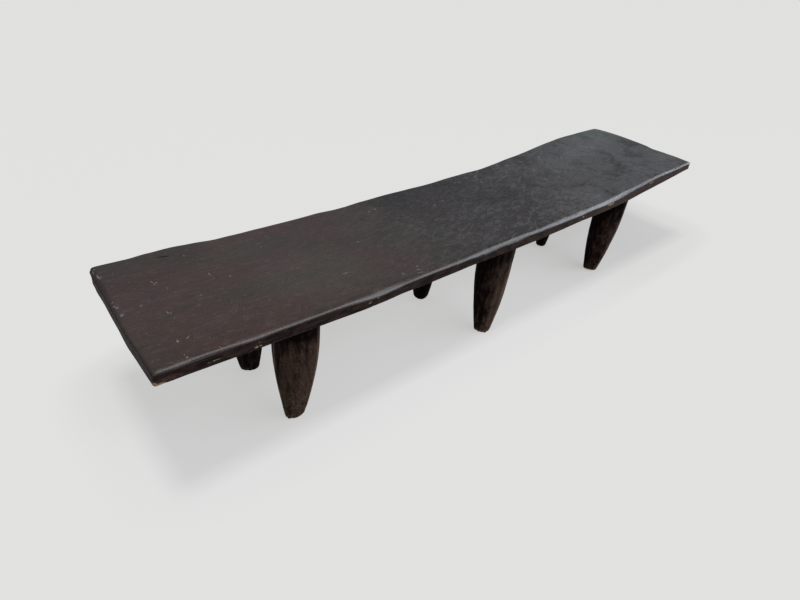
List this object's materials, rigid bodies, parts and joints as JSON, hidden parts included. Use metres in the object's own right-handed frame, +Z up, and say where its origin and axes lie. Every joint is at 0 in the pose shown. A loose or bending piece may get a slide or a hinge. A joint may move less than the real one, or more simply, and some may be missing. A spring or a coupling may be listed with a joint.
{
  "type": "senufo daybed",
  "caption": "Long low hand-carved wooden daybed: a slab seat with a gently raised head end on tapering round legs.",
  "frame": {"origin": "on the floor, under the middle of the bench's overall length and width", "axes": "+X along the bench towards the raised head end, +Y across it towards the back, +Z up"},
  "size_m": [1.98, 0.416, 0.4036],
  "materials": {
    "slab_wood": "dark stained and hand-polished hardwood, satin, with worn edges, nicks and scuffs",
    "leg_wood": "the same dark hardwood, adzed round, satin, paler and browner where the feet are worn"
  },
  "bodies": {
    "root": {"platform": "slab_wood", "leg_foot_front": "leg_wood", "leg_foot_back": "leg_wood", "leg_middle_front": "leg_wood", "leg_middle_back": "leg_wood", "leg_head_front": "leg_wood", "leg_head_back": "leg_wood"}
  },
  "joints": []
}
